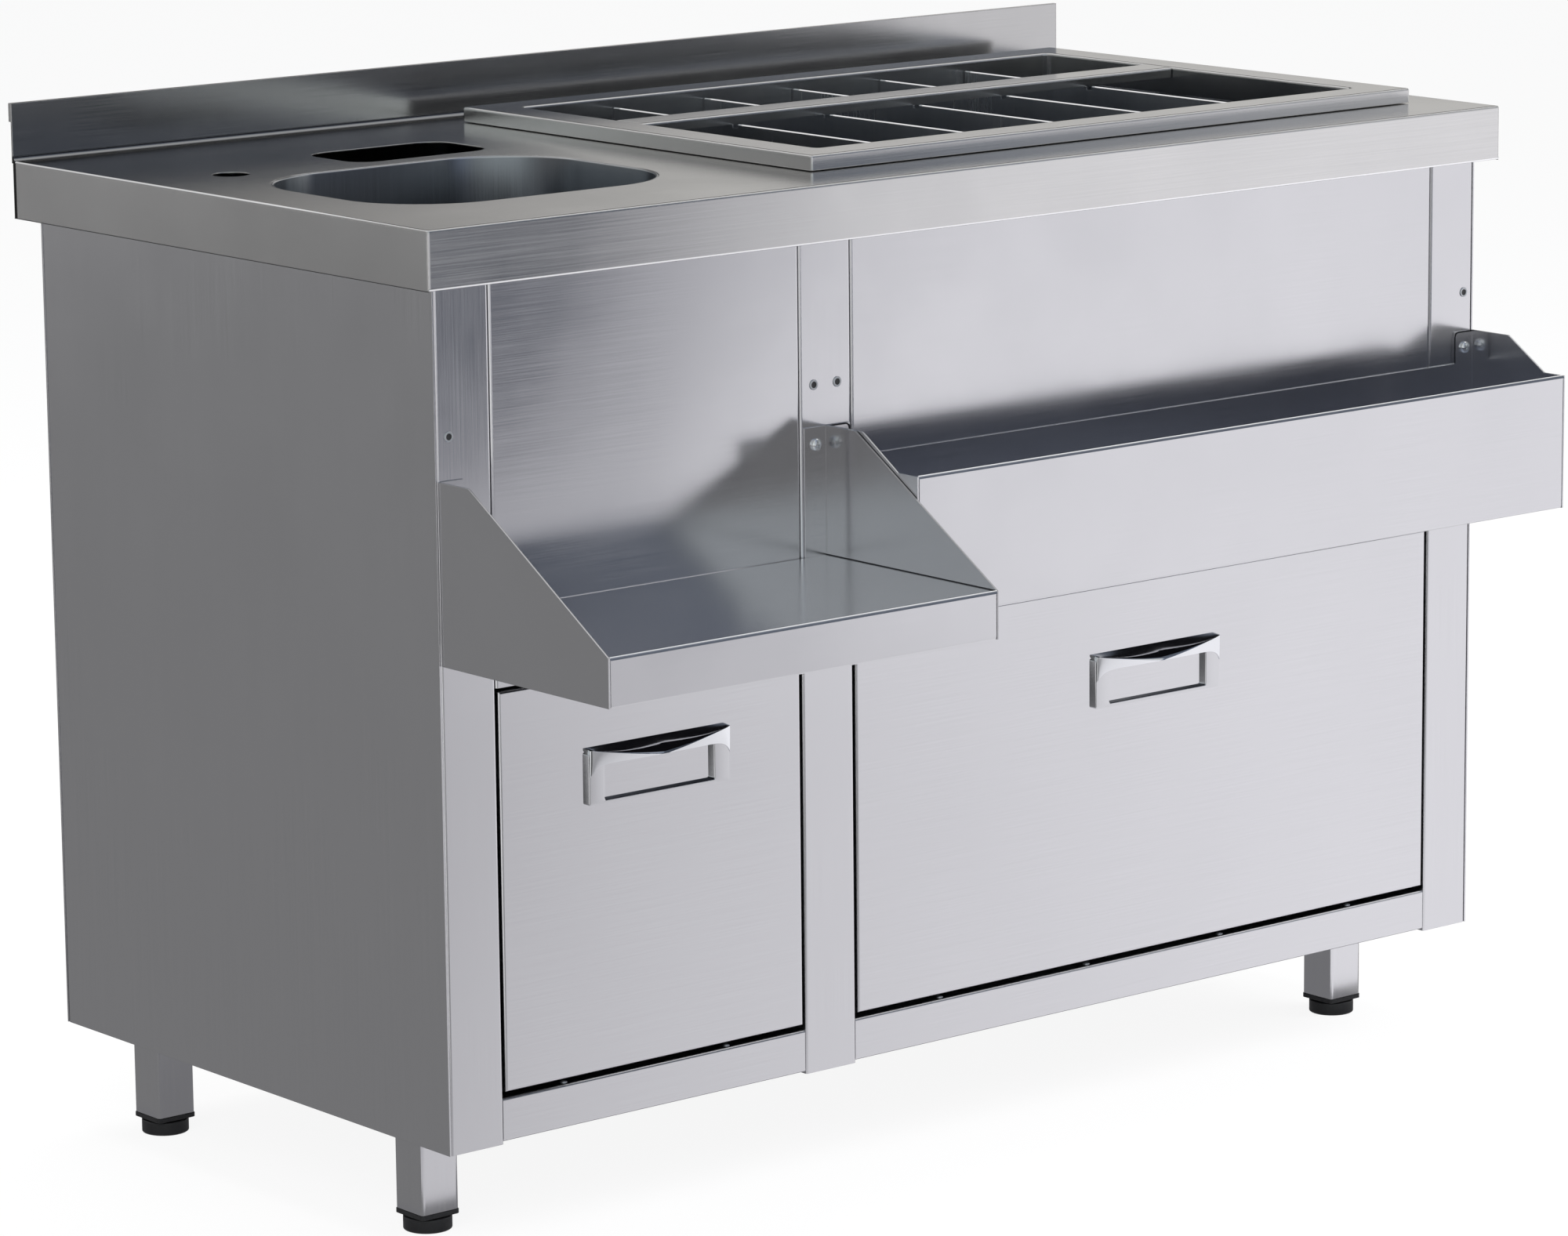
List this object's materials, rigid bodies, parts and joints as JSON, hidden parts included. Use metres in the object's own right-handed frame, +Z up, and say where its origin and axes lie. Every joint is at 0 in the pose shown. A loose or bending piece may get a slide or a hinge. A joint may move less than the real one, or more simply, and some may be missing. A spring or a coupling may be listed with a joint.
{
  "type": "bar station",
  "caption": "Free-standing stainless bar station: worktop with sink, waste slot and divided well, drawers on telescopic runners, side shelf, bottle rail and square levelling legs.",
  "frame": {"origin": "on the floor, in the middle of the plan box from the shelf's front edge to the back of the splash-back's hem", "axes": "+X to the right of someone who works at the front, +Y to the back, +Z up"},
  "size_m": [1.2, 0.8034, 0.9075],
  "materials": {
    "worktop_steel": "brushed along the length",
    "panel_steel": "fine brushed",
    "inner_steel": "satin",
    "polished_chrome": "polished",
    "zinc_steel": "zinc plated",
    "black_plastic": "moulded"
  },
  "bodies": {
    "cabinet": {"worktop": "worktop_steel", "sink_bowl": "inner_steel", "sink_drain": "polished_chrome", "well_frame": "worktop_steel", "well_tub": "inner_steel", "well_drain": "polished_chrome", "side_panel_left": "panel_steel", "side_panel_right": "panel_steel", "back_panel": "panel_steel", "base_panel": "panel_steel", "partition": "inner_steel", "runner_wall_left": "inner_steel", "runner_wall_right": "inner_steel", "post_left": "panel_steel", "post_middle": "panel_steel", "post_right": "panel_steel", "front_panel_left": "panel_steel", "front_panel_right": "panel_steel", "base_rail_left": "panel_steel", "base_rail_right": "panel_steel", "leg_front_left": "panel_steel", "leg_front_right": "panel_steel", "leg_back_left": "panel_steel", "leg_back_right": "panel_steel", "leg_cap_front_left": "black_plastic", "leg_cap_front_right": "black_plastic", "leg_cap_back_left": "black_plastic", "leg_cap_back_right": "black_plastic", "runner_outer_left_left": "zinc_steel", "runner_outer_left_right": "zinc_steel", "runner_outer_right_left": "zinc_steel", "runner_outer_right_right": "zinc_steel", "side_shelf": "panel_steel", "bottle_rail": "panel_steel"},
    "divider_rack": {"well_crossbar": "worktop_steel", "well_divider_1": "inner_steel", "well_divider_2": "inner_steel", "well_divider_3": "inner_steel", "well_divider_4": "inner_steel", "well_divider_5": "inner_steel"},
    "drawer_left": {"drawer_front_left": "panel_steel", "drawer_box_left": "inner_steel", "handle_left": "polished_chrome", "runner_inner_left_left": "zinc_steel", "runner_inner_left_right": "zinc_steel"},
    "drawer_right": {"drawer_front_right": "panel_steel", "drawer_box_right": "inner_steel", "handle_right": "polished_chrome", "runner_inner_right_left": "zinc_steel", "runner_inner_right_right": "zinc_steel"},
    "runner_carriage_left": {"runner_middle_left_left": "zinc_steel", "runner_middle_left_right": "zinc_steel"},
    "runner_carriage_right": {"runner_middle_right_left": "zinc_steel", "runner_middle_right_right": "zinc_steel"},
    "levelling_foot_front_left": {"foot_front_left": "black_plastic"},
    "levelling_foot_front_right": {"foot_front_right": "black_plastic"},
    "levelling_foot_back_left": {"foot_back_left": "black_plastic"},
    "levelling_foot_back_right": {"foot_back_right": "black_plastic"}
  },
  "joints": [
    {"name": "drawer_left_slide", "type": "slide", "parent": "cabinet", "child": "drawer_left", "axis": [0, -1, 0], "range_m": [0, 0.45]},
    {"name": "drawer_right_slide", "type": "slide", "parent": "cabinet", "child": "drawer_right", "axis": [0, -1, 0], "range_m": [0, 0.45]},
    {"name": "runner_left_slide", "type": "slide", "parent": "cabinet", "child": "runner_carriage_left", "axis": [0, -1, 0], "range_m": [0, 0.225]},
    {"name": "runner_right_slide", "type": "slide", "parent": "cabinet", "child": "runner_carriage_right", "axis": [0, -1, 0], "range_m": [0, 0.225]},
    {"name": "divider_rack_lift", "type": "slide", "parent": "cabinet", "child": "divider_rack", "axis": [0, 0, 1], "range_m": [0, 0.25]},
    {"name": "foot_front_left_screw", "type": "slide", "parent": "cabinet", "child": "levelling_foot_front_left", "axis": [0, 0, -1], "range_m": [0, 0.025]},
    {"name": "foot_front_right_screw", "type": "slide", "parent": "cabinet", "child": "levelling_foot_front_right", "axis": [0, 0, -1], "range_m": [0, 0.025]},
    {"name": "foot_back_left_screw", "type": "slide", "parent": "cabinet", "child": "levelling_foot_back_left", "axis": [0, 0, -1], "range_m": [0, 0.025]},
    {"name": "foot_back_right_screw", "type": "slide", "parent": "cabinet", "child": "levelling_foot_back_right", "axis": [0, 0, -1], "range_m": [0, 0.025]}
  ],
  "couplings": [
    {"joint": "runner_left_slide", "follows": "drawer_left_slide", "ratio": 0.5},
    {"joint": "runner_right_slide", "follows": "drawer_right_slide", "ratio": 0.5}
  ]
}
